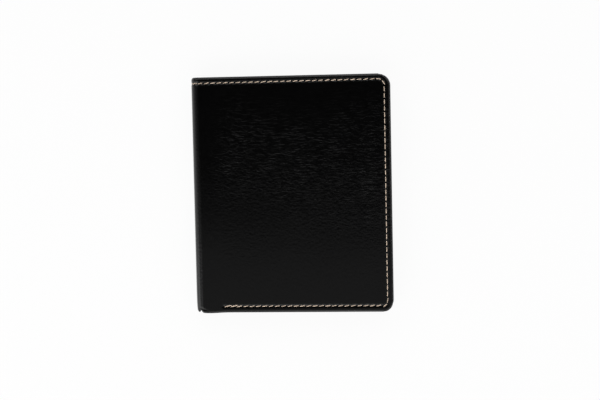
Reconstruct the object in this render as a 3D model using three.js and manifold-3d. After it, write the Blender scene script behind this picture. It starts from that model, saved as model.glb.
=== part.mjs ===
// A slim leather wallet: a portrait bifold with one note compartment and card slots on both inner faces.
// It lies closed on its back. +X runs from the spine to the free edge, +Y to the open top of the
// note compartment, +Z up through the layers. The origin is the middle of the back cover's outer face.

import * as THREE from "three";
import { mergeVertices } from "three/addons/utils/BufferGeometryUtils.js";
import Module from "manifold-3d";

const wasm = await Module();
wasm.setup();

// Driving sizes, in millimetres
const closedWidth = 101; // spine to free edge
const height = 120; // bottom edge to the fold of the top edge
const topCorner = 6; // radius of each cover's top corner at the free edge
const bottomCorner = 5; // radius of each cover's bottom corner at the free edge
const spineFlat = 1; // straight stretch down the middle of the closed spine

// Layers of one half, from the outside in
const leatherThickness = 1.2; // shell
const liningThickness = 0.25; // fabric glued inside the shell
const hemThickness = 0.6; // shell leather, thinned and turned in along the top
const billClearance = 0.2; // slack of the empty note compartment
const dividerThickness = 0.4; // inner wall of the note compartment
const panelThickness = 0.45; // leather panel that carries the card slots
const pocketThickness = 0.15; // fabric bag of a card slot
const facingThickness = 0.45; // leather strip at the mouth of a card slot
const glueLine = 0.05; // film between two layers
const foldClearance = 0.4; // air between the two halves when closed

// Outlines of the inner layers
const liningInset = 0.8; // lining to the shell's cut edges
const innerInset = 0.5; // divider, panel and facings to the shell's cut edges
const hemDepth = 7; // width of the turned-in top edge
const hemFold = 0.8; // leather left at the fold of that edge
const dividerGap = 0.5; // divider's top edge below the turned-in edge
const panelDrop = 2.5; // panel's top edge below the divider's
const panelFromSpine = 8; // panel's edge to the outside of the spine
const spineNotch = 3; // lining and divider stop this far above the bottom edge, at the spine
const spineSplit = 0.3; // gap where a cover's share of the bend meets the spine's

// Card slots on each half, numbered from the one furthest back
const slotCount = 3;
const frontMouth = 53; // mouth of the foremost slot above the bottom edge
const slotStep = 16; // each slot further back opens this much higher
const facingOverlap = 12; // a facing runs this far down behind the next one
const pocketReach = 48; // bottom of a bag below its mouth, so that a card stands out of it
const pocketRecess = 1.2; // top of a bag below its mouth
const pocketInset = 0.6; // sides of a bag, caught in the seams, to the panel's edges
const mouthCorner = 1.5; // radius of a facing's two top corners

// Sewing
const seamMargin = 2.7; // perimeter seam to the shell's top and free edges
const bottomSeamMargin = 3.2; // the same to its bottom edge
const seamStart = 14.7; // start of the bottom seam from the outside of the spine
const seamTopCorner = 3.2; // radius that the seam turns at the top corner
const seamBottomCorner = 1.5; // radius that the seam turns at the bottom corner
const panelSeamMargin = 2; // panel's own seam to its top and spine edges
const stitchPitch = 3.2;
const threadDiameter = 0.5; // needle thread, on the covers
const panelThreadDiameter = 0.4; // bobbin thread, on the panels
const grooveClearance = 0.18; // groove wall to thread
const threadRecess = 0.07; // crown of a stitch below the leather
const stitchRise = 2; // thread climbs to a facing this far ahead of its edge
const stitchShoulder = 0.25; // share of a stitch in which its thread comes up from a needle hole
const holeShare = 0.6; // thread's thickness in a needle hole, as a share of its full one

// Facets
const cornerSegments = 6;
const bendSegments = 5;
const hemSegments = 6;
const threadSides = 4;
const grooveSides = 8;

// Places worked out from the sizes above, each depth measured inwards from a cover's outer face
const liningDepth = leatherThickness + glueLine;
const hemDepthOuter = liningDepth + liningThickness + glueLine;
const hemDepthInner = hemDepthOuter + hemThickness;
const dividerDepth = liningDepth + liningThickness + billClearance;
const panelDepth = dividerDepth + dividerThickness + glueLine;
const slotLayer = pocketThickness + glueLine + facingThickness + glueLine;
const pocketDepth = (slot) => panelDepth + panelThickness + glueLine + slot * slotLayer;
const facingDepth = (slot) => pocketDepth(slot) + pocketThickness + glueLine;
const halfThickness = pocketDepth(slotCount) + panelThreadDiameter + foldClearance / 2;
const closedThickness = 2 * halfThickness;
const spineRadius = halfThickness - spineFlat / 2;

const spineX = -closedWidth / 2;
const freeX = closedWidth / 2;
const bendX = spineX + spineRadius; // where a cover starts to bend into the spine
const bottomY = -height / 2;
const topY = height / 2;
const panelX = spineX + panelFromSpine;
const liningTopY = topY - hemFold - glueLine;
const dividerTopY = topY - hemDepth - dividerGap;
const panelTopY = dividerTopY - panelDrop;
const mouthY = (slot) => bottomY + frontMouth + (slotCount - 1 - slot) * slotStep;

// Distances along the shell's outer face, laid flat, from the middle of the spine
const flatBend = spineFlat / 2 + (spineRadius * Math.PI) / 2; // to the start of a cover's flat
const flatSplit = (spineFlat / 2 + flatBend) / 2; // to the middle of the bend, where the strips divide
const flatOf = (x) => flatBend + x - bendX; // to a place on a cover's flat
const coverStart = flatSplit + spineSplit / 2;
const spineEnd = flatSplit - spineSplit / 2;

const blackLeather = new THREE.MeshStandardMaterial({ color: 0x141414, roughness: 0.45, metalness: 0 });
const panelLeather = new THREE.MeshStandardMaterial({ color: 0x161514, roughness: 0.5, metalness: 0 });
const liningFabric = new THREE.MeshStandardMaterial({ color: 0x1c1b1d, roughness: 0.85, metalness: 0 });
const creamThread = new THREE.MeshStandardMaterial({ color: 0xd9c7a0, roughness: 0.7, metalness: 0 });

// A geometry as a solid that can be cut and joined
function solidOf(geometry) {
  const bare = geometry.index ? geometry.toNonIndexed() : geometry.clone();
  bare.deleteAttribute("normal");
  bare.deleteAttribute("uv");
  const merged = mergeVertices(bare);
  return new wasm.Manifold(
    new wasm.Mesh({
      numProp: 3,
      vertProperties: merged.attributes.position.array,
      triVerts: new Uint32Array(merged.index.array),
    }),
  );
}

function geometryOf(solid) {
  const made = solid.getMesh();
  const geometry = new THREE.BufferGeometry();
  geometry.setAttribute("position", new THREE.BufferAttribute(made.vertProperties, 3));
  geometry.setIndex(new THREE.BufferAttribute(made.triVerts, 1));
  geometry.computeVertexNormals();
  return geometry;
}

function namedMesh(name, geometry, material) {
  const mesh = new THREE.Mesh(geometry, material);
  mesh.name = name;
  return mesh;
}

// Where a point of the shell, drawn flat from the middle of the spine, lies once it is folded.
// Negative distances lie on the front half.
function folded(flat, y, depth) {
  const away = Math.abs(flat);
  const place = new THREE.Vector3(0, y, 0);
  if (away > flatBend) {
    place.x = bendX + away - flatBend;
    place.z = depth;
  } else {
    const turn = Math.max(0, away - spineFlat / 2) / spineRadius;
    place.x = bendX - (spineRadius - depth) * Math.cos(turn);
    place.z = spineRadius - (spineRadius - depth) * Math.sin(turn);
    place.z += Math.max(0, spineFlat / 2 - away);
  }
  if (flat < 0) place.z = closedThickness - place.z;
  return place;
}

// Skins rings of points, each with as many points and the same turn, and closes both ends with a cap
function skinned(rings, cap, isLoop) {
  const positions = rings.flat().flatMap((point) => [point.x, point.y, point.z]);
  const size = rings[0].length;
  const faces = [];
  const spans = isLoop ? rings.length : rings.length - 1;
  for (let ring = 0; ring < spans; ring++) {
    const here = ring * size;
    const next = ((ring + 1) % rings.length) * size;
    for (let side = 0; side < size; side++) {
      const other = (side + 1) % size;
      faces.push(here + side, here + other, next + other, here + side, next + other, next + side);
    }
  }
  if (!isLoop) {
    const last = (rings.length - 1) * size;
    cap.forEach(([a, b, c]) => faces.push(a, c, b, last + a, last + b, last + c));
  }
  const geometry = new THREE.BufferGeometry();
  geometry.setAttribute("position", new THREE.Float32BufferAttribute(positions, 3));
  geometry.setIndex(faces);
  geometry.computeVertexNormals();
  return geometry;
}

// A section across a layer, in Y and depth, swept round the spine through the given flat distances
function sweep(section, stations) {
  const outline = section.getPoints(hemSegments).slice(0, -1);
  const rings = stations.map((flat) => outline.map((point) => folded(flat, point.x, point.y)));
  return skinned(rings, THREE.ShapeUtils.triangulateShape(outline, []), false);
}

function flatSection(low, high, depth, thickness) {
  const section = new THREE.Shape();
  section.moveTo(low, depth);
  section.lineTo(high, depth);
  section.lineTo(high, depth + thickness);
  section.lineTo(low, depth + thickness);
  section.closePath();
  return section;
}

// The shell's leather in section: its top edge is turned over the lining and ends in a thin lip
function shellSection() {
  const roll = hemDepthInner / 2;
  const section = new THREE.Shape();
  section.moveTo(bottomY, 0);
  section.lineTo(topY - roll, 0);
  section.absarc(topY - roll, roll, roll, -Math.PI / 2, Math.PI / 2, false);
  section.lineTo(topY - hemDepth, hemDepthInner);
  section.lineTo(topY - hemDepth, hemDepthOuter);
  section.lineTo(topY - hemFold, hemDepthOuter);
  section.lineTo(topY - hemFold, leatherThickness);
  section.lineTo(bottomY, leatherThickness);
  section.closePath();
  return section;
}

const steps = (from, to, count) => {
  return Array.from({ length: count + 1 }, (_, step) => from + ((to - from) * step) / count);
};
const coverStations = [...steps(coverStart, flatBend, bendSegments), flatOf(freeX)];
const spineStations = [
  ...steps(-spineEnd, -spineFlat / 2, bendSegments),
  ...steps(spineFlat / 2, spineEnd, bendSegments),
];

// A flat blank with square corners, apart from those given a radius
function blank(left, right, bottom, top, { bottomRight = 0, topRight = 0, topLeft = 0 }) {
  const outline = new THREE.Shape();
  const corner = (x, y, radius, angle) => {
    outline.lineTo(x + radius * Math.cos(angle), y + radius * Math.sin(angle));
    if (radius > 0) outline.absarc(x, y, radius, angle, angle + Math.PI / 2, false);
  };
  outline.moveTo(left, bottom);
  corner(right - bottomRight, bottom + bottomRight, bottomRight, -Math.PI / 2);
  corner(right - topRight, top - topRight, topRight, 0);
  corner(left + topLeft, top - topLeft, topLeft, Math.PI / 2);
  outline.closePath();
  return outline;
}

function sheet(outline, depth, thickness) {
  const options = { depth: thickness, bevelEnabled: false, curveSegments: cornerSegments };
  return new THREE.ExtrudeGeometry(outline, options).translate(0, 0, depth);
}

// One half of a layer, swept round its share of the bend and trimmed to its blank
function coverLayer(section, outline) {
  return solidOf(sweep(section, coverStations)).intersect(solidOf(sheet(outline, 0, closedThickness)));
}

// A closed tube through rings of { centre, out, radius }, where out points away from the leather
function tube(centres, sides, isLoop) {
  const count = centres.length;
  const rings = centres.map((ring, i) => {
    const before = centres[isLoop ? (i + count - 1) % count : Math.max(0, i - 1)].centre;
    const after = centres[isLoop ? (i + 1) % count : Math.min(count - 1, i + 1)].centre;
    const along = after.clone().sub(before).normalize();
    const across = new THREE.Vector3().crossVectors(ring.out, along).normalize();
    const up = new THREE.Vector3().crossVectors(along, across);
    return Array.from({ length: sides }, (_, side) => {
      const angle = (2 * Math.PI * (side + 0.5)) / sides;
      const point = ring.centre.clone().addScaledVector(across, ring.radius * Math.cos(angle));
      return point.addScaledVector(up, ring.radius * Math.sin(angle));
    });
  });
  const cap = Array.from({ length: sides - 2 }, (_, side) => [0, side + 1, side + 2]);
  return skinned(rings, cap, isLoop);
}

// The perimeter seam of one half, on the flat shell: from its start beside the spine, along the bottom,
// up the free edge and back along the top, with short steps round the bend
function coverSeam(overrun) {
  const low = bottomY + bottomSeamMargin;
  const high = topY - seamMargin;
  const edge = flatOf(freeX - seamMargin);
  const seam = new THREE.Path();
  seam.moveTo(flatOf(spineX + seamStart) - overrun, low);
  seam.lineTo(edge - seamBottomCorner, low);
  seam.absarc(edge - seamBottomCorner, low + seamBottomCorner, seamBottomCorner, -Math.PI / 2, 0, false);
  seam.lineTo(edge, high - seamTopCorner);
  seam.absarc(edge - seamTopCorner, high - seamTopCorner, seamTopCorner, 0, Math.PI / 2, false);
  steps(flatBend, coverStart - overrun, bendSegments).forEach((flat) => seam.lineTo(flat, high));
  return seam;
}

// The top seam where it crosses the spine
function spineSeam(overrun) {
  const reach = spineEnd + overrun;
  const [first, ...rest] = steps(reach, -reach, 2 * bendSegments);
  const seam = new THREE.Path();
  seam.moveTo(first, topY - seamMargin);
  rest.forEach((flat) => seam.lineTo(flat, topY - seamMargin));
  return seam;
}

function shellRing(point, depth, radius) {
  const out = folded(point.x, point.y, 0).sub(folded(point.x, point.y, 1));
  return { centre: folded(point.x, point.y, depth), out, radius };
}

const threadRadius = threadDiameter / 2;
const crownDepth = threadRadius + threadRecess; // thread's middle below the leather's face, along a stitch
const holeDepth = crownDepth + threadRadius / 2; // and in a needle hole

// The groove that the thread pulls into the leather
function groove(seam) {
  const centres = seam.getPoints(cornerSegments).map((point) => {
    return shellRing(point, crownDepth, threadRadius + grooveClearance);
  });
  return solidOf(tube(centres, grooveSides, false));
}

// Thread along a seam: each stitch comes up from a needle hole and lies full until just before the next
function coverThread(seam) {
  const stitches = Math.round(seam.getLength() / stitchPitch);
  const at = (stitch) => seam.getPoint(stitch / stitches);
  const centres = [];
  for (let stitch = 0; stitch < stitches; stitch++) {
    centres.push(shellRing(at(stitch), holeDepth, holeShare * threadRadius));
    centres.push(shellRing(at(stitch + stitchShoulder), crownDepth, threadRadius));
    centres.push(shellRing(at(stitch + 1 - stitchShoulder), crownDepth, threadRadius));
  }
  centres.push(shellRing(at(stitches), holeDepth, holeShare * threadRadius));
  return tube(centres, threadSides, false);
}

// The seam round a card panel: along the bottom and the free edge it is the perimeter seam's other side
function panelSeam() {
  const left = panelX + panelSeamMargin;
  const right = freeX - seamMargin;
  const low = bottomY + bottomSeamMargin;
  const high = panelTopY - panelSeamMargin;
  const seam = new THREE.Path();
  seam.moveTo(left, low);
  seam.lineTo(right - seamBottomCorner, low);
  seam.absarc(right - seamBottomCorner, low + seamBottomCorner, seamBottomCorner, -Math.PI / 2, 0, false);
  seam.lineTo(right, high);
  seam.lineTo(left, high);
  seam.closePath();
  return seam;
}

// Depth of the face that the panel's thread lies on, which climbs ahead of each facing's edge
function panelFaceDepth(y) {
  let depth = panelDepth + panelThickness;
  for (let slot = 0; slot < slotCount; slot++) {
    if (y < mouthY(slot) + stitchRise) depth = facingDepth(slot) + facingThickness;
  }
  return depth;
}

function panelThread() {
  const seam = panelSeam();
  const stitches = Math.round(seam.getLength() / stitchPitch);
  const centres = [];
  const out = new THREE.Vector3(0, 0, 1);
  const addRing = (stitch, radius) => {
    const point = seam.getPoint(stitch / stitches);
    const depth = panelFaceDepth(point.y) + glueLine + radius;
    centres.push({ centre: new THREE.Vector3(point.x, point.y, depth), out, radius });
  };
  for (let stitch = 0; stitch < stitches; stitch++) {
    addRing(stitch, (holeShare * panelThreadDiameter) / 2);
    addRing(stitch + 0.5, panelThreadDiameter / 2);
  }
  return tube(centres, threadSides, true);
}

// Shell leather of one half, with the groove of its seam
function cover() {
  const corners = { bottomRight: bottomCorner, topRight: topCorner };
  const outline = blank(spineX, freeX, bottomY, topY, corners);
  return geometryOf(coverLayer(shellSection(), outline).subtract(groove(coverSeam(spineSplit))));
}

function lining() {
  const low = bottomY + liningInset;
  const corners = { bottomRight: bottomCorner - liningInset, topRight: topCorner - liningInset };
  const outline = blank(spineX, freeX - liningInset, low, liningTopY, corners);
  const section = flatSection(low, liningTopY, liningDepth, liningThickness);
  return geometryOf(coverLayer(section, outline));
}

const innerBottom = bottomY + innerInset;
const innerFree = freeX - innerInset;
const innerCorner = bottomCorner - innerInset;

function divider() {
  const outline = blank(spineX, innerFree, innerBottom, dividerTopY, { bottomRight: innerCorner });
  const section = flatSection(innerBottom, dividerTopY, dividerDepth, dividerThickness);
  return geometryOf(coverLayer(section, outline));
}

function cardPanel() {
  const outline = blank(panelX, innerFree, innerBottom, panelTopY, { bottomRight: innerCorner });
  return sheet(outline, panelDepth, panelThickness);
}

// The bag of a slot, sewn in at both sides
function slotPocket(slot) {
  const mouth = mouthY(slot);
  const left = panelX + pocketInset;
  const outline = blank(left, innerFree - pocketInset, mouth - pocketReach, mouth - pocketRecess, {});
  return sheet(outline, pocketDepth(slot), pocketThickness);
}

// The leather strip at a slot's mouth. The foremost one runs down into the bottom seam.
function slotFacing(slot) {
  const isForemost = slot === slotCount - 1;
  const low = isForemost ? innerBottom : mouthY(slot + 1) - facingOverlap;
  const bottomRight = isForemost ? innerCorner : 0;
  const corners = { bottomRight, topRight: mouthCorner, topLeft: mouthCorner };
  return sheet(blank(panelX, innerFree, low, mouthY(slot), corners), facingDepth(slot), facingThickness);
}

function walletHalf(side) {
  const half = new THREE.Group();
  half.add(namedMesh(`${side}_cover`, cover(), blackLeather));
  half.add(namedMesh(`${side}_lining`, lining(), liningFabric));
  half.add(namedMesh(`${side}_note_divider`, divider(), liningFabric));
  half.add(namedMesh(`${side}_card_panel`, cardPanel(), panelLeather));
  for (let slot = 0; slot < slotCount; slot++) {
    half.add(namedMesh(`${side}_slot_${slot + 1}_pocket`, slotPocket(slot), liningFabric));
    half.add(namedMesh(`${side}_slot_${slot + 1}_facing`, slotFacing(slot), panelLeather));
  }
  half.add(namedMesh(`${side}_cover_stitching`, coverThread(coverSeam(0)), creamThread));
  half.add(namedMesh(`${side}_panel_stitching`, panelThread(), creamThread));
  return half;
}

// The strip of each layer that goes round the spine
function spineStrip() {
  const strip = new THREE.Group();
  const low = bottomY + spineNotch;
  const leather = solidOf(sweep(shellSection(), spineStations)).subtract(groove(spineSeam(spineSplit)));
  const liningStrip = sweep(flatSection(low, liningTopY, liningDepth, liningThickness), spineStations);
  const dividerStrip = sweep(flatSection(low, dividerTopY, dividerDepth, dividerThickness), spineStations);
  strip.add(namedMesh("spine_leather", geometryOf(leather), blackLeather));
  strip.add(namedMesh("spine_lining", liningStrip, liningFabric));
  strip.add(namedMesh("spine_note_divider", dividerStrip, liningFabric));
  strip.add(namedMesh("spine_stitching", coverThread(spineSeam(0)), creamThread));
  return strip;
}

// The front half is the back half's mirror image through the closed fold
const wallet = new THREE.Group();
const frontHalf = walletHalf("front");
frontHalf.scale.z = -1;
frontHalf.position.z = closedThickness;
wallet.add(walletHalf("back"), spineStrip(), frontHalf);

export default wallet;
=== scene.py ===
# A slim black leather wallet, closed and lying on its back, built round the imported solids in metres.
# +X runs from the spine to the free edge, +Y to the open top of the note compartment, +Z up.
import math

import bpy
import numpy as np
from mathutils import Matrix, Vector, noise
from mathutils.kdtree import KDTree


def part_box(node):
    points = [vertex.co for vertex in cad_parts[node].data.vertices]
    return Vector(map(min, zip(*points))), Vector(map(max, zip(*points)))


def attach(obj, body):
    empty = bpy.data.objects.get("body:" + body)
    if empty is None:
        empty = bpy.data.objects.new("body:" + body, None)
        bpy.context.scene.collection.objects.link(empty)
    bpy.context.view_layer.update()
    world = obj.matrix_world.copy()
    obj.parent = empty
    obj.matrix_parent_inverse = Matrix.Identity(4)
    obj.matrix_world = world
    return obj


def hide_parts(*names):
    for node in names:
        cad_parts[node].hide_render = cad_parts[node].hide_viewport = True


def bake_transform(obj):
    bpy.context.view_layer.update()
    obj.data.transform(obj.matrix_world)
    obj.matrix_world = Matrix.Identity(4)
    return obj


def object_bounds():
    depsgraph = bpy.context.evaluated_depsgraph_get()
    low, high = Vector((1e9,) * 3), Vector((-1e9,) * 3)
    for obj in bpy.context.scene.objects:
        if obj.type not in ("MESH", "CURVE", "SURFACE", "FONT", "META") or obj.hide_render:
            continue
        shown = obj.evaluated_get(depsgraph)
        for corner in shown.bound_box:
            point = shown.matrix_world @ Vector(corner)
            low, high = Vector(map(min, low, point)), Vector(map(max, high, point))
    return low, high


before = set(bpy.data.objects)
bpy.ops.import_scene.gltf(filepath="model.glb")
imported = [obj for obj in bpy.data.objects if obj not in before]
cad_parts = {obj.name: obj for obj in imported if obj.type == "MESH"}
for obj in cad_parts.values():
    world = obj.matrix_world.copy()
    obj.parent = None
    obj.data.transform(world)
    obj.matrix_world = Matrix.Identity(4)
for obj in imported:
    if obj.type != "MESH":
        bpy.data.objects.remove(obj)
cad_low, cad_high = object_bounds()


# Shell leather
# One piece of smooth black cowhide wraps the whole wallet, with its top edge thinned and turned in.
# It is made as two halves that meet down the middle of the spine.
MM = 0.001
closed_thickness = cad_high.z - cad_low.z
spine_x = cad_low.x
free_x = cad_high.x
bottom_y = cad_low.y
top_y = cad_high.y
spine_flat = 1.0 * MM
spine_radius = (closed_thickness - spine_flat) / 2
bend_x = spine_x + spine_radius
flat_bend = spine_flat / 2 + spine_radius * math.pi / 2
flat_free = flat_bend + free_x - bend_x

leather_thickness = 1.2 * MM
leather_rim = 0.5 * MM
edge_round = 1.2 * MM
top_corner = 6.0 * MM
bottom_corner = 5.0 * MM
corner_band = 10.0 * MM

# The turned-in top edge. Its inner leaves lap at mid-spine, so that no gap opens there with the fold.
hem_depth = 7.0 * MM
hem_thickness = 0.6 * MM
hem_roll = 1.075 * MM
hem_round = 1.8 * MM
hem_lap = 0.12 * MM
lap_start = 1.5 * MM

# The perimeter seam, and the channel that it pulls into the leather
seam_margin = 2.7 * MM
bottom_seam_margin = 3.2 * MM
seam_start = 14.7 * MM
flat_seam_start = flat_bend + spine_x + seam_start - bend_x
seam_drift = 0.4 * MM
seam_top_corner = 3.2 * MM
seam_bottom_corner = 1.5 * MM
seam_step = 0.1 * MM
stitch_pitch = 3.2 * MM
samples_per_stitch = 8
channel_depth = 0.24 * MM
channel_width = 0.7 * MM
pucker_depth = 0.12 * MM

# The slow waves of handled leather
sway_depth = 0.16 * MM
sway_length = 26.0 * MM
back_sway_seed = 0.0
front_sway_seed = 5.0

# The unsewn bottom of the spine: an edge that hangs loose, a drawn-in corner, a nick and the tuck beside it
loose_edge = 0.4 * MM
loose_middle = 11.0 * MM
loose_width = 5.5 * MM
loose_fade = 6.0 * MM
drawn_in = 0.5 * MM
drawn_fade = 2.5 * MM
pinch_depth = 2.4 * MM
pinch_middle = 5.2 * MM
pinch_width = 1.1 * MM
pinch_fade = 2.0 * MM
tuck_depth = 0.22 * MM
tuck_middle = 7.2 * MM
tuck_length = 2.6 * MM
tuck_height = 1.7 * MM
tuck_width = 0.5 * MM
tuck_slope = 0.3

# How closely the shell is meshed
fine_step = 0.3 * MM
coarse_step = 0.64 * MM
edge_band = 5.0 * MM
spine_band = 9.0 * MM
roll_steps = 12
lip_steps = 9
rim_steps = 4


def folded(flat, y, depth):
    """Where a point of the back half lies: flat is its distance from mid-spine along the outer face."""
    turn = np.clip(flat - spine_flat / 2, 0, spine_radius * math.pi / 2) / spine_radius
    x = bend_x - (spine_radius - depth) * np.cos(turn) + np.clip(flat - flat_bend, 0, None)
    x = x + drawn_in * np.exp((bottom_y - y) / drawn_fade) * np.cos(turn)
    z = spine_radius - (spine_radius - depth) * np.sin(turn) + np.clip(spine_flat / 2 - flat, 0, None)
    return np.stack(np.broadcast_arrays(x, y, z), axis=-1)


def on_front(points):
    """Points of the back half, mirrored to the front half."""
    return points * [1, 1, -1] + [0, 0, closed_thickness]


def graded(low, high, fine, coarse, low_band, high_band):
    """Places from low to high, close together in a band at each end and further apart between them."""
    low_end = low + low_band
    high_end = high - high_band
    places = []
    for start, end, step in ((low, low_end, fine), (low_end, high_end, coarse), (high_end, high, fine)):
        if end > start:
            count = max(1, round((end - start) / step))
            places.append(np.linspace(start, end, count, endpoint=False))
    return np.append(np.concatenate(places), high)


def corner_cut(y, bottom, top, low_radius, high_radius, rim):
    """How far a side edge steps in at each row, going round its two corners."""
    cut = np.zeros_like(y)
    for edge, radius in ((bottom, low_radius), (top, high_radius)):
        reach = max(radius - rim, 0)
        over = np.clip(radius - np.abs(y - edge), 0, reach)
        cut += reach - np.sqrt(reach**2 - over**2)
    return cut


def grid_normals(places):
    """Unit normals of a face grid, on the side that its finished face looks to."""
    across = np.gradient(places, axis=1)
    along = np.gradient(places, axis=0)
    normals = np.cross(along, across)
    return normals / np.linalg.norm(normals, axis=-1, keepdims=True)


def sharpen(mesh, corners):
    """Mark as sharp every edge that joins two of the given points."""
    ends = np.empty(2 * len(mesh.edges), dtype=np.int32)
    mesh.edges.foreach_get("vertices", ends)
    sharp = np.isin(ends.reshape(-1, 2), corners).all(axis=1)
    mesh.attributes.new("sharp_edge", "BOOLEAN", "EDGE").data.foreach_set("value", sharp)


def sheet_object(name, places, thickness, rim, material, mirrored=False, square_end=False, smooth=None):
    """A closed sheet behind a face grid, with a rounded rim.

    Rows run up, and columns so that the face looks out. A square end leaves the first column without a rim,
    so that two halves meet flush there. The sheet's normals come from the smooth grid where there is one.
    """
    rows, columns = places.shape[:2]
    normals = grid_normals(places if smooth is None else smooth)
    thickness = np.broadcast_to(thickness, (rows, columns))[..., None]
    back = places - normals * thickness
    index = np.arange(rows * columns).reshape(rows, columns)
    loop = np.concatenate([index[0, :-1], index[:-1, -1], index[-1, :0:-1], index[:0:-1, 0]])
    face_points = places.reshape(-1, 3)
    loop_points = face_points[loop]
    tangents = np.roll(loop_points, -1, axis=0) - np.roll(loop_points, 1, axis=0)
    outward = np.cross(normals.reshape(-1, 3)[loop], tangents)
    outward /= np.linalg.norm(outward, axis=1, keepdims=True)
    joint = index[:, 0]
    if square_end:
        outward[np.isin(loop, joint[1:-1])] = 0
        for row in (0, -1):
            outward[loop == joint[row]] = outward[loop == index[row, 1]]
    middle = (loop_points + back.reshape(-1, 3)[loop]) / 2
    half = normals.reshape(-1, 3)[loop] * thickness.reshape(-1, 1)[loop] / 2
    rings = []
    for step in range(1, rim_steps + 1):
        angle = math.pi * step / (rim_steps + 1)
        rings.append(middle + half * math.cos(angle) + outward * rim * math.sin(angle))
    points = np.concatenate([face_points, back.reshape(-1, 3), *rings])

    corners = (index[:-1, :-1], index[1:, :-1], index[1:, 1:], index[:-1, 1:])
    front_faces = np.stack(corners, axis=-1).reshape(-1, 4)
    faces = [front_faces, front_faces[:, [0, 3, 2, 1]] + rows * columns]
    first_ring = 2 * rows * columns
    lines = [loop]
    lines += [first_ring + step * len(loop) + np.arange(len(loop)) for step in range(rim_steps)]
    lines.append(loop + rows * columns)
    for near, far in zip(lines, lines[1:]):
        faces.append(np.stack([near, np.roll(near, -1), np.roll(far, -1), far], axis=-1))
    faces = np.concatenate(faces)
    if mirrored:
        points = on_front(points)
        faces = faces[:, ::-1]
    mesh = bpy.data.meshes.new(name)
    mesh.from_pydata(points.tolist(), [], faces.tolist())
    mesh.shade_smooth()
    if square_end:
        sharpen(mesh, np.append(joint, joint + rows * columns))
    edge = mesh.attributes.new("cut_edge", "FLOAT", "POINT")
    edge.data.foreach_set("value", (np.arange(len(points)) >= first_ring).astype(np.float32))
    mesh.materials.append(material)
    made = bpy.data.objects.new(name, mesh)
    bpy.context.scene.collection.objects.link(made)
    return made


def arc(centre_x, centre_y, radius, start, end, count=12):
    """Points round part of a circle, between two angles in degrees."""
    angles = np.radians(np.linspace(start, end, count))
    return np.column_stack([centre_x + radius * np.cos(angles), centre_y + radius * np.sin(angles)])


def cover_seam():
    """The perimeter seam on the flat leather, from beside the spine round to the middle of the spine."""
    low = bottom_y + bottom_seam_margin
    high = top_y - seam_margin
    edge = flat_free - seam_margin
    return np.concatenate(
        [
            [[flat_seam_start, low]],
            arc(edge - seam_bottom_corner, low + seam_bottom_corner, seam_bottom_corner, -90, 0),
            arc(edge - seam_top_corner, high - seam_top_corner, seam_top_corner, 0, 90),
            [[0, high - seam_drift]],
        ]
    )


def spaced(line, spacing):
    """A line's points again, evenly spaced, with the distance along it of each."""
    lengths = np.append(0, np.cumsum(np.linalg.norm(np.diff(line, axis=0), axis=1)))
    along = np.linspace(0, lengths[-1], round(lengths[-1] / spacing) + 1)
    return np.column_stack([np.interp(along, lengths, axis) for axis in line.T]), along


def stitch_line(line, pitch):
    """A seam's line from the middle of its first stitch to that of its last, and the pitch that fits it."""
    length = np.linalg.norm(np.diff(line, axis=0), axis=1).sum()
    fitted = length / round(length / pitch)
    half_stitch = samples_per_stitch // 2
    return spaced(line, fitted / samples_per_stitch)[0][half_stitch:-half_stitch], fitted


def seam_dip(flat, y):
    """How deep the sewing pulls the leather in: a soft channel, deeper at each needle hole."""
    points, along = spaced(cover_seam(), seam_step)
    pitch = stitch_line(cover_seam(), stitch_pitch)[1]
    tree = KDTree(len(points))
    for number, point in enumerate(points):
        tree.insert((*point, 0), number)
    tree.balance()
    found = [tree.find((across, up, 0)) for across, up in zip(flat.ravel(), y.ravel())]
    away = np.array([hit[2] for hit in found]).reshape(flat.shape)
    along = along[[hit[1] for hit in found]].reshape(flat.shape)
    hole = 0.5 + 0.5 * np.cos(2 * math.pi * along / pitch)
    return np.exp(-((away / channel_width) ** 2)) * (channel_depth + pucker_depth * hole)


def sway(places, seed):
    """Slow waves of leather that has been handled, from 0 to 1."""
    offset = Vector((0, 0, seed))
    waves = [noise.noise(Vector(point) / sway_length + offset) for point in places.reshape(-1, 3)]
    return 0.5 + 0.5 * np.array(waves).reshape(places.shape[:2])


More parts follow.
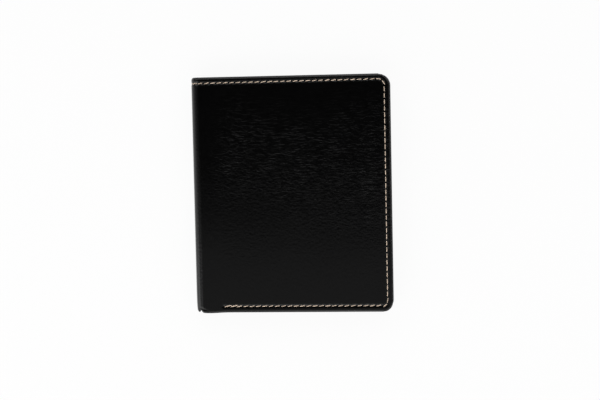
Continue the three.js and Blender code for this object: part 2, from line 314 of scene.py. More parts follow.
def shell_half(name, material, mirrored):
    """Half of the shell, from mid-spine to the free edge: its face, rolled top and turned-in lip."""
    face_y = graded(bottom_y + leather_rim, top_y - hem_round, fine_step, coarse_step, edge_band, edge_band)
    roll = np.linspace(0, math.pi, roll_steps + 1)[1:]
    roll_y = top_y - hem_round + hem_round * np.sin(roll)
    lip_y = np.linspace(top_y - hem_round, top_y - hem_depth + leather_rim / 2, lip_steps + 1)[1:]
    y = np.concatenate([face_y, roll_y, lip_y])
    depth = np.concatenate([0 * face_y, hem_roll * (1 - np.cos(roll)), 2 * hem_roll + 0 * lip_y])
    flat = graded(0, flat_free - leather_rim, fine_step, coarse_step, spine_band, edge_band)
    cut = corner_cut(y, bottom_y, top_y, bottom_corner, top_corner, leather_rim)
    ramp = np.clip((flat - flat_free + leather_rim + corner_band) / corner_band, 0, 1)
    flat = flat - np.outer(cut, ramp)
    y = y[:, None] + 0 * flat
    depth = depth[:, None] + 0 * flat
    on_face = (np.arange(len(depth)) < len(face_y))[:, None]

    to_edge = np.minimum(flat_free - cut[:, None] - flat, y - bottom_y)
    drop = edge_round - np.sqrt(edge_round**2 - np.clip(edge_round - to_edge, 0, edge_round) ** 2)
    round_the_roll = 0.5 + 0.5 * np.cos(roll)
    drop *= np.concatenate([np.ones_like(face_y), round_the_roll, np.zeros_like(lip_y)])[:, None]
    loose = np.exp(-(((flat - loose_middle) / loose_width) ** 2) + (bottom_y - y) / loose_fade)
    pinch = np.exp(-(((flat - pinch_middle) / pinch_width) ** 2) + (bottom_y - y) / pinch_fade)
    y = y - loose_edge * loose + pinch_depth * pinch
    along_tuck = flat - tuck_middle
    above_tuck = y - bottom_y - tuck_height + tuck_slope * along_tuck
    tuck = np.exp(-((along_tuck / tuck_length) ** 2) - (above_tuck / tuck_width) ** 2)

    smooth = folded(flat, y, depth)
    waves = sway(smooth, front_sway_seed if mirrored else back_sway_seed) * np.clip(flat / flat_bend, 0, 1)
    dip = seam_dip(flat, y) + sway_depth * waves + tuck_depth * tuck
    places = folded(flat, y, depth + drop + np.where(on_face, dip, 0))
    places[:, 0, 2] += hem_lap * np.clip((depth[:, 0] - lap_start) / (2 * hem_roll - lap_start), 0, 1)
    skived = np.clip((top_y - y) / hem_depth, 0, 1)
    face_thickness = hem_thickness + (leather_thickness - hem_thickness) * skived
    thickness = np.where(on_face, face_thickness, hem_thickness) - drop
    return sheet_object(name, places, thickness, leather_rim, material, mirrored, True, smooth)


def add(tree, kind, inputs=None, **settings):
    """A node with its settings, and its inputs set to values or linked to sockets."""
    made = tree.nodes.new(kind)
    for key, value in settings.items():
        setattr(made, key, value)
    for key, value in (inputs or {}).items():
        if isinstance(value, bpy.types.NodeSocket):
            tree.links.new(value, made.inputs[key])
        else:
            made.inputs[key].default_value = value
    return made


def maths(tree, operation, first, second=0.0, third=0.0):
    """The result of one sum on values."""
    return add(tree, "ShaderNodeMath", {0: first, 1: second, 2: third}, operation=operation).outputs[0]


def vectors(tree, operation, first, second):
    """The result of one sum on places."""
    return add(tree, "ShaderNodeVectorMath", {0: first, 1: second}, operation=operation).outputs[0]


def scaled(tree, vector, by):
    """A place or a colour times a value."""
    return add(tree, "ShaderNodeVectorMath", {0: vector, "Scale": by}, operation="SCALE").outputs[0]


def ranged(tree, value, low, high, to_low, to_high):
    """A value brought smoothly from one range to another, and held at the ends."""
    inputs = {"Value": value, "From Min": low, "From Max": high, "To Min": to_low, "To Max": to_high}
    return add(tree, "ShaderNodeMapRange", inputs, interpolation_type="SMOOTHSTEP").outputs["Result"]


def clouds(tree, place, scale, detail):
    """Soft noise over a surface, round about a half."""
    inputs = {"Vector": place, "Scale": scale, "Detail": detail}
    return add(tree, "ShaderNodeTexNoise", inputs).outputs["Fac"]


def from_cracks(tree, place, scale):
    """The distance from the edges of irregular cells."""
    inputs = {"Vector": place, "Scale": scale}
    return add(tree, "ShaderNodeTexVoronoi", inputs, feature="DISTANCE_TO_EDGE").outputs["Distance"]


def effect(name, inputs, outputs):
    """A shader node group with named value inputs and outputs, and its two end nodes."""
    group = bpy.data.node_groups.new(name, "ShaderNodeTree")
    for label, kind, default in inputs:
        socket = group.interface.new_socket(label, in_out="INPUT", socket_type=kind)
        if default is not None:
            socket.default_value = default
    for label in outputs:
        group.interface.new_socket(label, in_out="OUTPUT", socket_type="NodeSocketFloat")
    return group, group.nodes.new("NodeGroupInput"), group.nodes.new("NodeGroupOutput")


def leather_grain():
    """Pebbles, pores, creases that run across the hide, and a slow mottle.

    Sizes are in millimetres, widths in shares of a crease's cell, and heights in shares of the bump's depth.
    """
    drift_reach = 4.0
    crack_width = 0.09
    finer_scale = 2.3
    finer_crack_width = 0.2
    finer_depth = 0.35
    faintest_crease = 0.15
    faintest_patch = 0.75
    pore_height = 0.16
    pebble_height = 1.19
    pebble_gain_in_creases = 2.21
    group, given, made = effect(
        "leather_grain",
        [
            ("Place", "NodeSocketVector", None),
            ("Pore Size", "NodeSocketFloat", 0.4),
            ("Crease Length", "NodeSocketFloat", 7.0),
            ("Crease Spacing", "NodeSocketFloat", 1.7),
            ("Crease Share", "NodeSocketFloat", 1.0),
        ],
        ["Height", "Creases", "Mottle"],
    )
    place = given.outputs["Place"]
    share = given.outputs["Crease Share"]
    drift = add(group, "ShaderNodeTexNoise", {"Vector": place, "Scale": 0.09, "Detail": 2.0})
    drift = vectors(group, "SUBTRACT", drift.outputs["Color"], (0.5, 0.5, 0.5))
    wandering = vectors(group, "ADD", place, scaled(group, drift, drift_reach))
    length = given.outputs["Crease Length"]
    cell = {"X": length, "Y": given.outputs["Crease Spacing"], "Z": length}
    stretched = vectors(group, "DIVIDE", wandering, add(group, "ShaderNodeCombineXYZ", cell).outputs[0])
    wide = ranged(group, from_cracks(group, stretched, 1.0), 0.0, crack_width, 1.0, 0.0)
    finer = from_cracks(group, stretched, finer_scale)
    narrow = ranged(group, finer, 0.0, finer_crack_width, finer_depth, 0.0)
    lines = maths(group, "MAXIMUM", wide, narrow)
    broken = ranged(group, clouds(group, stretched, scale=1.4, detail=1.0), 0.4, 0.6, faintest_crease, 1.0)
    patches = ranged(group, clouds(group, place, scale=0.05, detail=1.0), 0.3, 0.7, faintest_patch, 1.0)
    creases = maths(group, "MULTIPLY", maths(group, "MULTIPLY", lines, broken), patches)
    creases = maths(group, "MULTIPLY", creases, share)
    per_pore = maths(group, "DIVIDE", 1.0, given.outputs["Pore Size"])
    pores = add(group, "ShaderNodeTexVoronoi", {"Vector": place, "Scale": per_pore}).outputs["Distance"]
    pores = maths(group, "MULTIPLY", ranged(group, pores, 0.0, 0.7, 0.0, 1.0), pore_height)
    rise = maths(group, "MULTIPLY_ADD", share, pebble_gain_in_creases, pebble_height)
    pebbles = clouds(group, place, scale=0.9, detail=1.0)
    pebbled = maths(group, "MULTIPLY_ADD", pebbles, rise, pores)
    height = maths(group, "SUBTRACT", pebbled, creases)
    group.links.new(height, made.inputs["Height"])
    group.links.new(creases, made.inputs["Creases"])
    group.links.new(clouds(group, place, scale=0.35, detail=4.0), made.inputs["Mottle"])
    return group


def place_in_mm(tree):
    """Where a point of the piece lies, in millimetres."""
    return scaled(tree, add(tree, "ShaderNodeTexCoord").outputs["Object"], 1 / MM)


def new_material(name):
    """A material, its node tree and its shader."""
    material = bpy.data.materials.new(name)
    material.use_nodes = True
    return material, material.node_tree, material.node_tree.nodes["Principled BSDF"]


def crease_share(tree, place, band):
    """How deep the creases are: most in one band of heights that wanders, and least beside the spine.

    The sizes here are in millimetres.
    """
    low = band[0] / MM
    high = band[1] / MM
    spine = spine_x / MM
    wander_up = 50.0
    wander_across = 20.0
    fade_below = 14.0
    fade_above = 24.0
    smooth_spine = 6.0
    full_from_spine = 20.0
    share_below = 0.12
    share_above = 0.3
    share_at_spine = 0.2
    wander = maths(tree, "SUBTRACT", clouds(tree, place, scale=0.03, detail=2.0), 0.5)
    axes = add(tree, "ShaderNodeSeparateXYZ", {0: place}).outputs
    x = maths(tree, "MULTIPLY_ADD", wander, wander_across, axes["X"])
    y = maths(tree, "MULTIPLY_ADD", wander, wander_up, axes["Y"])
    over_low = ranged(tree, y, low - fade_below, low + fade_below, share_below, 1.0)
    under_high = ranged(tree, y, high, high + fade_above, 1.0, share_above)
    past_spine = ranged(tree, x, spine + smooth_spine, spine + full_from_spine, share_at_spine, 1.0)
    return maths(tree, "MULTIPLY", maths(tree, "MULTIPLY", over_low, under_high), past_spine)


grain = leather_grain()


def leather(name, colour, roughness, grain_sizes, bump_depth, crease_band=None):
    """Dyed and waxed leather, duller in its creases and burnished at its cut edges."""
    crease_dullness = 0.06
    mottle_dullness = 0.06
    edge_burnish = 0.08
    edge_paleness = 0.5
    material, tree, shader = new_material(name)
    place = place_in_mm(tree)
    face = add(tree, "ShaderNodeGroup", {"Place": place, **grain_sizes}, node_tree=grain)
    if crease_band is not None:
        tree.links.new(crease_share(tree, place, crease_band), face.inputs["Crease Share"])
    edge = add(tree, "ShaderNodeAttribute", attribute_name="cut_edge").outputs["Fac"]
    mottle = face.outputs["Mottle"]
    dull = maths(tree, "MULTIPLY_ADD", face.outputs["Creases"], crease_dullness, roughness)
    dull = maths(tree, "MULTIPLY_ADD", maths(tree, "SUBTRACT", mottle, 0.5), mottle_dullness, dull)
    dull = maths(tree, "MULTIPLY_ADD", edge, -edge_burnish, dull)
    tree.links.new(dull, shader.inputs["Roughness"])
    shader.inputs["Specular IOR Level"].default_value = 0.3
    paler = maths(tree, "MULTIPLY_ADD", edge, edge_paleness, 1.0)
    tone = maths(tree, "MULTIPLY", ranged(tree, mottle, 0.25, 0.75, 0.9, 1.1), paler)
    tree.links.new(scaled(tree, colour, tone), shader.inputs["Base Color"])
    height = maths(tree, "MULTIPLY", face.outputs["Height"], maths(tree, "SUBTRACT", 1.0, edge))
    bump = add(tree, "ShaderNodeBump", {"Height": height, "Distance": bump_depth, "Strength": 1.0})
    tree.links.new(bump.outputs["Normal"], shader.inputs["Normal"])
    return material


cover_leather = leather(
    "cover_leather",
    colour=(0.0010, 0.0010, 0.00105),
    roughness=0.21,
    grain_sizes={"Pore Size": 0.42, "Crease Length": 5.4, "Crease Spacing": 1.22},
    bump_depth=0.037 * MM,
    crease_band=(-11 * MM, 34 * MM),
)


def bend_with_fold(piece, is_front):
    """Bakes a piece's placement into its mesh, the same way for both halves."""
    if is_front:
        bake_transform(piece)
    else:
        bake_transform(piece)


sides = {"back": False, "front": True}
for side, is_front in sides.items():
    shell = shell_half(f"{side}_shell", cover_leather, is_front)
    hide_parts(f"{side}_cover", "spine_leather")
    bend_with_fold(shell, is_front)


# Shell lining
# Thin black plain-weave fabric, glued inside the shell and tucked under its turned-in top edge.
# At the spine it stops short of the bottom edge, where the shell is left unsewn.
lining_thickness = 0.25 * MM
lining_inset = 0.8 * MM
lining_rim = 0.1 * MM
spine_notch = 3.0 * MM
layer_rows = 50
layer_fine_step = 0.5 * MM
layer_coarse_step = 2.0 * MM
layer_edge_band = 8.0 * MM


def notched(flat, low):
    """The bottom edge of a layer that is cut away at the spine."""
    share = np.clip((flat_seam_start - flat) / (flat_seam_start - flat_bend), 0, 1)
    return low + (bottom_y + spine_notch - low) * share * share * (3 - 2 * share)


def inner_layer(name, material, mirrored, low, high, right, corners, depth, thickness, rim):
    """A layer that lies inside the shell from mid-spine to the free edge, with its face to the inside."""
    rows = np.linspace(0, 1, layer_rows + 1)
    flat_edge = flat_bend + right - bend_x - rim
    columns = graded(0, flat_edge, layer_fine_step, layer_coarse_step, flat_bend, layer_edge_band)
    y = low + rim + (high - low - 2 * rim) * rows
    cut = corner_cut(y, low, high, corners[0], corners[1], rim)
    ramp = np.clip((columns - columns[-1] + corner_band) / corner_band, 0, 1)
    flat = columns - np.outer(cut, ramp)
    lift = (notched(flat, low) - low) * (1 - rows[:, None])
    face = folded(flat, y[:, None] + lift, depth + thickness)
    return sheet_object(name, face[:, ::-1], thickness, rim, material, mirrored)


def plain_weave():
    """Yarns over and under each other, some thicker than others. Sizes are in millimetres."""
    inputs = [("Place", "NodeSocketVector", None), ("Yarn Width", "NodeSocketFloat", 0.3)]
    group, given, made = effect("plain_weave", inputs, ["Height", "Slub"])
    place = given.outputs["Place"]
    axes = add(group, "ShaderNodeSeparateXYZ", {0: place}).outputs
    turns = maths(group, "DIVIDE", math.pi, given.outputs["Yarn Width"])
    warp = maths(group, "SINE", maths(group, "MULTIPLY", axes["X"], turns))
    weft = maths(group, "SINE", maths(group, "MULTIPLY", axes["Y"], turns))
    height = maths(group, "MULTIPLY_ADD", maths(group, "MULTIPLY", warp, weft), 0.5, 0.5)
    along_yarn = add(group, "ShaderNodeMapping", {"Vector": place, "Scale": (0.15, 2.2, 1.0)}).outputs[0]
    group.links.new(height, made.inputs["Height"])
    group.links.new(clouds(group, along_yarn, scale=1.0, detail=2.0), made.inputs["Slub"])
    return group


weave = plain_weave()


def fabric(name, colour, yarn_width, bump_depth):
    """Dyed cloth, with painted shade in the hollows between its yarns."""
    material, tree, shader = new_material(name)
    inputs = {"Place": place_in_mm(tree), "Yarn Width": yarn_width}
    cloth = add(tree, "ShaderNodeGroup", inputs, node_tree=weave).outputs
    uneven = ranged(tree, cloth["Slub"], 0.3, 0.7, 0.7, 1.25)
    # The weave's height darkens the colour between the yarns: painted shade. The slub is the yarns' own
    # uneven tone.
    tone = maths(tree, "MULTIPLY", uneven, maths(tree, "MULTIPLY_ADD", cloth["Height"], 0.5, 0.75))
    tree.links.new(scaled(tree, colour, tone), shader.inputs["Base Color"])
    shader.inputs["Roughness"].default_value = 0.82
    shader.inputs["Sheen Weight"].default_value = 0.12
    bump = add(tree, "ShaderNodeBump", {"Height": cloth["Height"], "Distance": bump_depth})
    tree.links.new(bump.outputs["Normal"], shader.inputs["Normal"])
    return material


lining_fabric = fabric(
    "lining_fabric",
    colour=(0.010, 0.010, 0.011),
    yarn_width=0.3,
    bump_depth=0.05 * MM,
)
lining_low, lining_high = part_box("back_lining")
for side, is_front in sides.items():
    lining = inner_layer(
        f"{side}_shell_lining",
        lining_fabric,
        is_front,
        low=bottom_y + lining_inset,
        high=lining_high.y,
        right=free_x - lining_inset,
        corners=(bottom_corner - lining_inset, top_corner - lining_inset),
        depth=lining_low.z,
        thickness=lining_thickness,
        rim=lining_rim,
    )
    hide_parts(f"{side}_lining", "spine_lining")
    bend_with_fold(lining, is_front)


# Note divider
# A doubled wall of the same fabric between the notes and the cards, open at the top, where its edge is
# folded. It runs round the spine from one half to the other, and is sewn in at the bottom and free edges.
divider_thickness = 0.4 * MM
divider_rim = 0.2 * MM
divider_low, divider_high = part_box("back_note_divider")
inner_inset = free_x - divider_high.x
inner_corner = bottom_corner - inner_inset
for side, is_front in sides.items():
    divider = inner_layer(
        f"{side}_divider",
        lining_fabric,
        is_front,
        low=divider_low.y,
        high=divider_high.y,
        right=divider_high.x,
        corners=(inner_corner, 0),
        depth=divider_low.z,
        thickness=divider_thickness,
        rim=divider_rim,
    )
    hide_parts(f"{side}_note_divider", "spine_note_divider")
    bend_with_fold(divider, is_front)


# Card panels
# One sheet of thin leather on each half carries the card slots, with a creased line along its top edge.
# Along the bottom and the free edge it is sewn to the shell, and along the other two to the divider alone.
panel_leather = leather(
    "panel_leather",
    colour=(0.0042, 0.0040, 0.0040),
    roughness=0.47,
    grain_sizes={"Pore Size": 0.38, "Crease Length": 3.0, "Crease Spacing": 2.2, "Crease Share": 0.25},
    bump_depth=0.06 * MM,
)
panel_rim = 0.22 * MM
panel_row_step = 1.5 * MM
panel_side_band = 5.0 * MM
crease_margin = 1.3 * MM
crease_width = 0.22 * MM
crease_depth = 0.09 * MM
crease_row_step = 0.12 * MM
creased_band = 2.2 * MM
mouth_reach = 9.0 * MM


def flat_leather(name, node, bottom_right, top_corners, mirrored, lift=0.0):
    """A flat leather piece over its solid, with a creased line along its top and a mouth that may lift."""
    low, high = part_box(node)
    if mirrored:
        face_depth = closed_thickness - low.z
    else:
        face_depth = high.z
    thickness = high.z - low.z
    y = graded(low.y + panel_rim, high.y - panel_rim, crease_row_step, panel_row_step, 0, creased_band)
    left = low.x + panel_rim
    right = high.x - panel_rim
    x = graded(left, right, layer_fine_step, layer_coarse_step, panel_side_band, panel_side_band)
    right_cut = corner_cut(y, low.y, high.y, bottom_right, top_corners, panel_rim)
    left_cut = corner_cut(y, low.y, high.y, 0, top_corners, panel_rim)
    right_ramp = np.clip((x - x[-1] + panel_side_band) / panel_side_band, 0, 1)
    left_ramp = np.clip((x[0] + panel_side_band - x) / panel_side_band, 0, 1)
    x = x - np.outer(right_cut, right_ramp) + np.outer(left_cut, left_ramp)
    y = y[:, None] + 0 * x
    below_top = (high.y - y - crease_margin) / crease_width
    middle = (low.x + high.x) / 2
    bow = 1 - ((x - middle) / (high.x - middle)) ** 2
    near_mouth = np.clip((y - high.y) / mouth_reach + 1, 0, 1) ** 2
    depth = face_depth - crease_depth * np.exp(-(below_top**2)) + lift * bow * near_mouth
    places = np.stack([x, y, depth], axis=-1)
    return sheet_object(name, places[:, ::-1], thickness, panel_rim, panel_leather, mirrored)


for side, is_front in sides.items():
    panel = flat_leather(f"{side}_panel", f"{side}_card_panel", inner_corner, 0, is_front)
    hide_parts(f"{side}_card_panel")
    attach(panel, side)


# Card slot bags
# Each slot has a flat bag of the lining fabric, caught in the seams at both sides of the panel.
# The bag starts a little below its mouth, so the leather alone shows at the edge.
slot_count = 3
bag_rim = 0.06 * MM
bag_rows = 24
bag_columns = 40
ripple_height = 0.01 * MM
ripple_across = 5.0 * MM
ripple_up = 9.0 * MM


def fabric_bag(name, node):
    """A flat bag over its solid, with faint ripples."""
    low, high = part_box(node)
    y = np.linspace(low.y + bag_rim, high.y - bag_rim, bag_rows)
    x = np.linspace(high.x - bag_rim, low.x + bag_rim, bag_columns)
    grid_x, grid_y = np.meshgrid(x, y)
    ripple = ripple_height * np.sin(grid_x / ripple_across) * np.sin(grid_y / ripple_up)
    places = np.stack([grid_x, grid_y, high.z - ripple_height + ripple], axis=-1)
    return sheet_object(name, places, high.z - low.z - 2 * ripple_height, bag_rim, lining_fabric)


for side, is_front in sides.items():
    for slot in range(1, slot_count + 1):
        node = f"{side}_slot_{slot}_pocket"
        bag = fabric_bag(f"{side}_slot_{slot}_bag", node)
        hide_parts(node)
        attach(bag, side)


# Card slot facings
# A strip of panel leather finishes the mouth of each slot, with its edge creased and its corners eased.
# The foremost runs down to the bottom seam, and the others end behind the next one.
mouth_corner = 1.5 * MM
mouth_lift = 0.2 * MM
for side, is_front in sides.items():
    for slot in range(1, slot_count + 1):
        node = f"{side}_slot_{slot}_facing"
        corner = inner_corner if slot == slot_count else 0
        facing = flat_leather(f"{side}_slot_{slot}_mouth", node, corner, mouth_corner, is_front, mouth_lift)
        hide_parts(node)
        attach(facing, side)


# Perimeter stitching
# Cream bonded thread, lockstitched through the whole edge. Each stitch rises from one needle hole, lies
# in the channel at a slight slant and goes down the next. Beside the spine it is sewn back over itself.
thread_colour = (0.9, 0.715, 0.55)
thread_diameter = 0.45 * MM
thread_depth = 0.3 * MM
tack_stitches = 2
tack_offset = 0.26 * MM
tack_shift = 0.3 * stitch_pitch
tack_lift = 0.12 * MM
pitch_slack = 0.9999
outward_step = 1.0 * MM


def thread_material():
    """Twisted thread, fuzzy close up and soiled here and there."""
    material, tree, shader = new_material("thread")
    place = place_in_mm(tree)
    fuzz = clouds(tree, place, scale=9.0, detail=3.0)
    soil = clouds(tree, place, scale=0.5, detail=2.0)
    soiled = ranged(tree, soil, 0.3, 0.7, 0.85, 1.08)
    tone = maths(tree, "MULTIPLY", ranged(tree, fuzz, 0.2, 0.8, 0.8, 1.1), soiled)
    tree.links.new(scaled(tree, thread_colour, tone), shader.inputs["Base Color"])
    shader.inputs["Roughness"].default_value = 0.7
    shader.inputs["Sheen Weight"].default_value = 0.2
    bump = add(tree, "ShaderNodeBump", {"Height": fuzz, "Distance": 0.03 * MM})
    tree.links.new(bump.outputs["Normal"], shader.inputs["Normal"])
    return material


def drawn_between(tree, low, high, seed):
    """A random value for each stitch. Sockets 2 and 3 of the node are the bounds of a float."""
    return add(tree, "FunctionNodeRandomValue", {2: low, 3: high, "Seed": seed}).outputs[1]


def stitch_tree():
    """Geometry Nodes: twisted stitches laid along a line whose points know which way is out."""
    end_sharpness = 4.0
    end_thinning = 0.3
    ply_twist = math.radians(240)
    ply_depth = 0.82
    slant_spread = (0.6, 1.4)
    size_spread = (0.94, 1.06)
    tree = bpy.data.node_groups.new("stitch_row", "GeometryNodeTree")
    tree.interface.new_socket("Seam", in_out="INPUT", socket_type="NodeSocketGeometry")
    sizes = {
        "Pitch": stitch_pitch,
        "Thread": thread_diameter,
        "Length Share": 0.98,
        "Sink": 0.45 * MM,
        "Slant": 0.17,
    }
    for label, default in sizes.items():
        socket = tree.interface.new_socket(label, in_out="INPUT", socket_type="NodeSocketFloat")
        socket.default_value = default
    tree.interface.new_socket("Thread Material", in_out="INPUT", socket_type="NodeSocketMaterial")
    tree.interface.new_socket("Stitches", in_out="OUTPUT", socket_type="NodeSocketGeometry")
    given = tree.nodes.new("NodeGroupInput").outputs
    made = tree.nodes.new("NodeGroupOutput").inputs

    half = maths(tree, "MULTIPLY", maths(tree, "MULTIPLY", given["Pitch"], given["Length Share"]), 0.5)
    start = add(tree, "ShaderNodeCombineXYZ", {"X": maths(tree, "MULTIPLY", half, -1.0)}).outputs[0]
    end = add(tree, "ShaderNodeCombineXYZ", {"X": half}).outputs[0]
    line = add(tree, "GeometryNodeCurvePrimitiveLine", {"Start": start, "End": end}).outputs[0]
    line = add(tree, "GeometryNodeResampleCurve", {"Curve": line, "Count": 7}).outputs[0]
    share = add(tree, "GeometryNodeSplineParameter").outputs["Factor"]
    from_middle = maths(tree, "ABSOLUTE", maths(tree, "MULTIPLY_ADD", share, 2.0, -1.0))
    near_end = maths(tree, "POWER", from_middle, end_sharpness)
    drop = maths(tree, "MULTIPLY", near_end, given["Sink"])
    offset = add(tree, "ShaderNodeCombineXYZ", {"Z": maths(tree, "MULTIPLY", drop, -1.0)}).outputs[0]
    line = add(tree, "GeometryNodeSetPosition", {"Geometry": line, "Offset": offset}).outputs[0]
    twist = maths(tree, "MULTIPLY", share, ply_twist)
    line = add(tree, "GeometryNodeSetCurveTilt", {"Curve": line, "Tilt": twist}).outputs[0]
    radius = maths(tree, "MULTIPLY", given["Thread"], 0.5)
    inner_radius = maths(tree, "MULTIPLY", radius, ply_depth)
    lobes = {"Points": 3, "Inner Radius": inner_radius, "Outer Radius": radius}
    plies = add(tree, "GeometryNodeCurveStar", lobes).outputs["Curve"]
    taper = maths(tree, "MULTIPLY_ADD", near_end, -end_thinning, 1.0)
    swept = {"Curve": line, "Profile Curve": plies, "Scale": taper, "Fill Caps": True}
    stitch = add(tree, "GeometryNodeCurveToMesh", swept).outputs[0]
    stitch = add(tree, "GeometryNodeSetShadeSmooth", {"Geometry": stitch}).outputs[0]

    seam = add(tree, "GeometryNodeMeshToCurve", {"Mesh": given["Seam"]}).outputs[0]
    pitched = {"Curve": seam, "Length": given["Pitch"]}
    pitched = add(tree, "GeometryNodeResampleCurve", pitched, mode="LENGTH").outputs[0]
    out = add(tree, "GeometryNodeInputNamedAttribute", {"Name": "outward"}, data_type="FLOAT_VECTOR")
    along = add(tree, "GeometryNodeInputTangent").outputs[0]
    axes = {"Primary Axis": out.outputs[0], "Secondary Axis": along}
    facing = add(tree, "FunctionNodeAxesToRotation", axes, primary_axis="Z", secondary_axis="X").outputs[0]
    across = maths(tree, "ABSOLUTE", add(tree, "ShaderNodeSeparateXYZ", {0: along}).outputs["X"])
    slant = maths(tree, "MULTIPLY", given["Slant"], drawn_between(tree, *slant_spread, seed=3))
    slant = maths(tree, "MULTIPLY", slant, across)
    slant = add(tree, "ShaderNodeCombineXYZ", {"Z": slant}).outputs[0]
    slant = add(tree, "FunctionNodeEulerToRotation", {"Euler": slant}).outputs[0]
    turned = {"Rotation": facing, "Rotate By": slant}
    facing = add(tree, "FunctionNodeRotateRotation", turned, rotation_space="LOCAL").outputs[0]
    size = drawn_between(tree, *size_spread, seed=8)
    laid = {"Points": pitched, "Instance": stitch, "Rotation": facing, "Scale": size}
    row = add(tree, "GeometryNodeInstanceOnPoints", laid).outputs[0]
    row = add(tree, "GeometryNodeRealizeInstances", {"Geometry": row}).outputs[0]
    coloured = {"Geometry": row, "Material": given["Thread Material"]}
    tree.links.new(add(tree, "GeometryNodeSetMaterial", coloured).outputs[0], made["Stitches"])
    return tree


thread = thread_material()
stitch_row = stitch_tree()


def sewn(name, lines, sizes, mirrored):
    """Stitches along each line of (points, outward directions), as one plain mesh.

    The pitch is a hair short, so that the last stitch of a line isn't lost to rounding.
    """
    points = np.concatenate([line[0] for line in lines])
    outward = np.concatenate([line[1] for line in lines])
    if mirrored:
        points = on_front(points)
        outward = outward * [1, 1, -1]
    edges = []
    for line in lines:
        first = edges[-1][1] + 1 if edges else 0
        last = first + len(line[0]) - 1
        edges += [(point, point + 1) for point in range(first, last)]
    mesh = bpy.data.meshes.new(name)
    mesh.from_pydata(points.tolist(), edges, [])
    mesh.attributes.new("outward", "FLOAT_VECTOR", "POINT").data.foreach_set("vector", outward.ravel())
    made = bpy.data.objects.new(name, mesh)
    bpy.context.scene.collection.objects.link(made)
    modifier = made.modifiers.new("stitches", "NODES")
    modifier.node_group = stitch_row
    values = {**sizes, "Pitch": pitch_slack * sizes["Pitch"], "Thread Material": thread}
    for socket in stitch_row.interface.items_tree:
        if socket.in_out == "INPUT" and socket.name in values:
            modifier[socket.identifier] = values[socket.name]
    evaluated = made.evaluated_get(bpy.context.evaluated_depsgraph_get())
    made.data = bpy.data.meshes.new_from_object(evaluated)
    made.modifiers.clear()
    made.data.name = name
    bpy.data.meshes.remove(mesh)
    return made


def on_shell(line, depth):
    """A line drawn on the flat leather, as places on the folded shell and the directions out of it."""
    places = folded(line[:, 0], line[:, 1], depth)
    outward = folded(line[:, 0], line[:, 1], 0.0) - folded(line[:, 0], line[:, 1], outward_step)
    return places, outward / np.linalg.norm(outward, axis=1, keepdims=True)


seam_line, seam_pitch = stitch_line(cover_seam(), stitch_pitch)
tack_samples = samples_per_stitch * (tack_stitches - 1) + 1
tack_line = seam_line[:tack_samples] + [tack_shift, tack_offset]
for side, is_front in sides.items():
    lines = [on_shell(seam_line, thread_depth), on_shell(tack_line, thread_depth - tack_lift)]
    stitching = sewn(f"{side}_stitches", lines, {"Pitch": seam_pitch}, is_front)
    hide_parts(f"{side}_cover_stitching", "spine_stitching")
    bend_with_fold(stitching, is_front)


# Panel stitching
# The finer bobbin thread shows on the inner faces. It goes round each card panel, and climbs over the
# edge of each slot's facing where the seam crosses it.
bobbin_diameter = 0.4 * MM
bobbin_sink = 0.3 * MM
bobbin_height = 0.08 * MM
panel_seam_margin = 2.0 * MM
stitch_rise = 2.0 * MM


def panel_line(side):
    """The seam round a panel, closed, on whichever face is uppermost there, as on the back half."""
    low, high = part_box(f"{side}_card_panel")
    left = low.x + panel_seam_margin
    right = free_x - seam_margin
    bottom = bottom_y + bottom_seam_margin
    top = high.y - panel_seam_margin
    corner = arc(right - seam_bottom_corner, bottom + seam_bottom_corner, seam_bottom_corner, -90, 0)
    line = np.concatenate([[[left, bottom]], corner, [[right, top], [left, top], [left, bottom]]])
    line, pitch = stitch_line(line, stitch_pitch)
    depth = np.full(len(line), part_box("back_card_panel")[1].z)
    for slot in range(1, slot_count + 1):
        facing_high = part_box(f"back_slot_{slot}_facing")[1]
        climb = np.clip((facing_high.y + stitch_rise - line[:, 1]) / stitch_rise, 0, 1)
        depth = np.maximum(depth, depth + (facing_high.z - depth) * climb)
    places = np.column_stack([line, depth + bobbin_height])
    outward = np.tile([0.0, 0.0, 1.0], (len(line), 1))
    return (places, outward), pitch


for side, is_front in sides.items():
    line, pitch = panel_line(side)
    sizes = {"Pitch": pitch, "Thread": bobbin_diameter, "Sink": bobbin_sink}
    stitching = sewn(f"{side}_panel_stitches", [line], sizes, is_front)
    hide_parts(f"{side}_panel_stitching")
    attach(stitching, side)


# Studio
# A white floor that runs out of sight under a dark ceiling, with large soft boxes round the sides. Three
# smaller cards light the near part of the cover and the spine. The camera looks almost straight down.
floor_half = 20.0
floor_z = -0.1 * MM
floor_grey = 0.9
floor_glow = 0.92
floor_corners = [(-1, -1), (1, -1), (1, 1), (-1, 1)]
floor_points = [(x * floor_half, y * floor_half, floor_z) for x, y in floor_corners]
floor_mesh = bpy.data.meshes.new("floor")
floor_mesh.from_pydata(floor_points, [], [(0, 1, 2, 3)])
floor = bpy.data.objects.new("floor", floor_mesh)
bpy.context.scene.collection.objects.link(floor)

# Seen directly or in a reflection, the floor is mostly an even white, with some shading left for the shadow
floor_material, tree, shader = new_material("floor_white")
shader.inputs["Base Color"].default_value = (floor_grey, floor_grey, floor_grey, 1)
shader.inputs["Roughness"].default_value = 0.9
shader.inputs["Specular IOR Level"].default_value = 0.0
glow = add(tree, "ShaderNodeEmission", {"Color": (1, 1, 1, 1), "Strength": 1.0})
rays = add(tree, "ShaderNodeLightPath").outputs
seen = maths(tree, "MAXIMUM", rays["Is Camera Ray"], rays["Is Glossy Ray"])
seen = maths(tree, "MULTIPLY", maths(tree, "MAXIMUM", seen, rays["Is Transmission Ray"]), floor_glow)
white = add(tree, "ShaderNodeMixShader", {0: seen, 1: shader.outputs[0], 2: glow.outputs[0]})
tree.links.new(white.outputs[0], tree.nodes["Material Output"].inputs["Surface"])
floor_mesh.materials.append(floor_material)

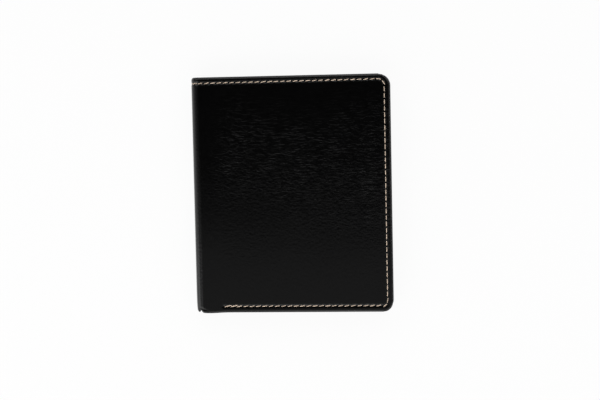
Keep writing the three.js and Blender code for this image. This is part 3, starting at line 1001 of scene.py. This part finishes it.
# Bright walls fade to a dark ceiling, so that the flat cover shows black and its rounded edges show light
wall_light = 0.75
ceiling_light = 0.004
ceiling_falloff = 1.7
near_gain = 1.3
far_gain = 1.4
near_spine_gain = 0.8
far_spine_gain = -0.7
world = bpy.data.worlds.new("studio")
world.use_nodes = True
bpy.context.scene.world = world
tree = world.node_tree
direction = add(tree, "ShaderNodeTexCoord").outputs["Generated"]
axes = add(tree, "ShaderNodeSeparateXYZ", {0: direction}).outputs
below_zenith = maths(tree, "MAXIMUM", maths(tree, "SUBTRACT", 1.0, axes["Z"]), 0.0)
below_zenith = maths(tree, "POWER", below_zenith, ceiling_falloff)
near_side = ranged(tree, axes["Y"], -0.25, 0.15, near_gain, far_gain)
toward_spine = ranged(tree, axes["X"], -0.9, -0.3, 1.0, 0.0)
spine_gain = ranged(tree, axes["Y"], -0.2, 0.1, near_spine_gain, far_spine_gain)
spine_side = maths(tree, "MULTIPLY_ADD", toward_spine, spine_gain, 1.0)
wall = maths(tree, "MULTIPLY", maths(tree, "MULTIPLY", below_zenith, near_side), spine_side)
wall = maths(tree, "MULTIPLY_ADD", wall, wall_light, ceiling_light)
tree.links.new(wall, tree.nodes["Background"].inputs["Strength"])
tree.nodes["Background"].inputs["Color"].default_value = (1, 1, 1, 1)


def soft_lamp(name, place, size, power, facing=None):
    """A soft box that faces the wallet, unless it is given another way to face."""
    lamp = bpy.data.lights.new(name, "AREA")
    lamp.shape = "RECTANGLE"
    lamp.size, lamp.size_y = size
    lamp.energy = power
    made = bpy.data.objects.new(name, lamp)
    made.location = place
    facing = Vector(facing) if facing else -made.location
    made.rotation_euler = facing.to_track_quat("-Z", "Y").to_euler()
    bpy.context.scene.collection.objects.link(made)


box_distance = 1.3
box_rise = math.radians(32)
box_level = box_distance * math.cos(box_rise)
box_height = box_distance * math.sin(box_rise)
for azimuth in (60, 120, 240, 300):
    turn = math.radians(azimuth)
    place = (box_level * math.cos(turn), box_level * math.sin(turn), box_height)
    soft_lamp(f"soft_box_{azimuth}", place, size=(1.6, 1.1), power=6.4)
soft_lamp("near_card", (-0.05, -0.22, 0.35), size=(0.8, 0.34), power=0.315, facing=(0, 0, -1))
soft_lamp("spine_card", (-0.42, -0.15, 0.1), size=(0.16, 0.2), power=0.125)
soft_lamp("spine_card_above", (-0.34, -0.2, 0.3), size=(0.22, 0.26), power=0.1)

# The camera is placed so that the corners of the cover fall where they do in the photograph
camera_distance = 0.7
camera_aim = Vector((4.42 * MM, -2.83 * MM, closed_thickness))
camera_yaw = math.radians(6.173)
camera_pitch = math.radians(3.838)
camera_roll = math.radians(-1.186)
camera_back = Vector(
    (
        math.sin(camera_yaw) * math.cos(camera_pitch),
        math.sin(camera_pitch),
        math.cos(camera_yaw) * math.cos(camera_pitch),
    )
)
level_right = Vector((0, 1, 0)).cross(camera_back).normalized()
level_up = camera_back.cross(level_right)
camera_right = level_right * math.cos(camera_roll) + level_up * math.sin(camera_roll)
camera_up = level_up * math.cos(camera_roll) - level_right * math.sin(camera_roll)
camera_data = bpy.data.cameras.new("camera")
camera_data.sensor_width = 36
camera_data.lens = 83.17
camera = bpy.data.objects.new("camera", camera_data)
turned = Matrix((camera_right, camera_up, camera_back)).transposed().to_4x4()
camera.matrix_world = Matrix.Translation(camera_aim + camera_back * camera_distance) @ turned
bpy.context.scene.collection.objects.link(camera)
bpy.context.scene.camera = camera
bpy.context.scene.view_settings.view_transform = "Standard"
